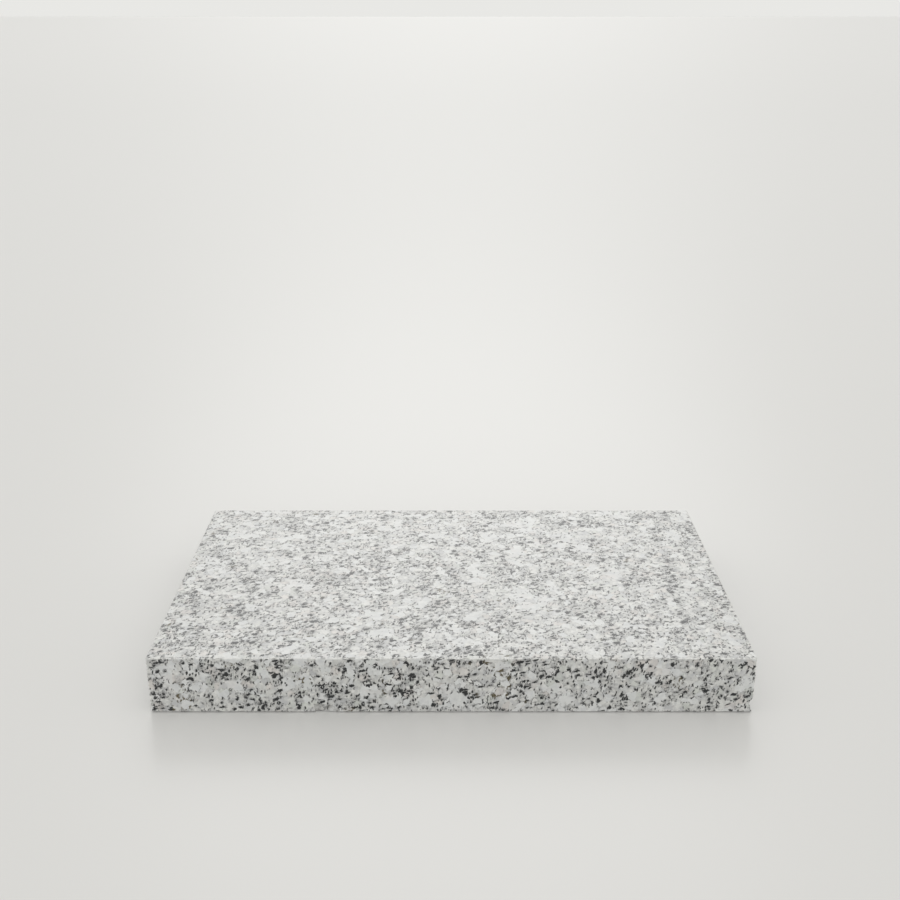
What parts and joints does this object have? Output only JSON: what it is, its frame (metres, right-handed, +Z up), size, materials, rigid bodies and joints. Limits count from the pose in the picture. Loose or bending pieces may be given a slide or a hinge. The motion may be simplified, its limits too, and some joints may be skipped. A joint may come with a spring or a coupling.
{
  "type": "granite slab for leather tooling",
  "caption": "Rectangular slab of light grey granite with a honed flat top, sawn sides and low-profile rubber feet, a hard base for stamping, tooling and skiving leather.",
  "frame": {"origin": "middle of the base, in the plane that the feet stand on", "axes": "+Z up through the tooling face, +X along the long edge to the right, -Y out of the front face"},
  "size_m": [0.305, 0.183, 0.0317],
  "materials": {
    "granite": "satin",
    "foot_rubber": "matte"
  },
  "bodies": {
    "root": {"granite_slab": "granite", "foot_front_left": "foot_rubber", "foot_front_right": "foot_rubber", "foot_back_left": "foot_rubber", "foot_back_right": "foot_rubber"}
  },
  "joints": []
}
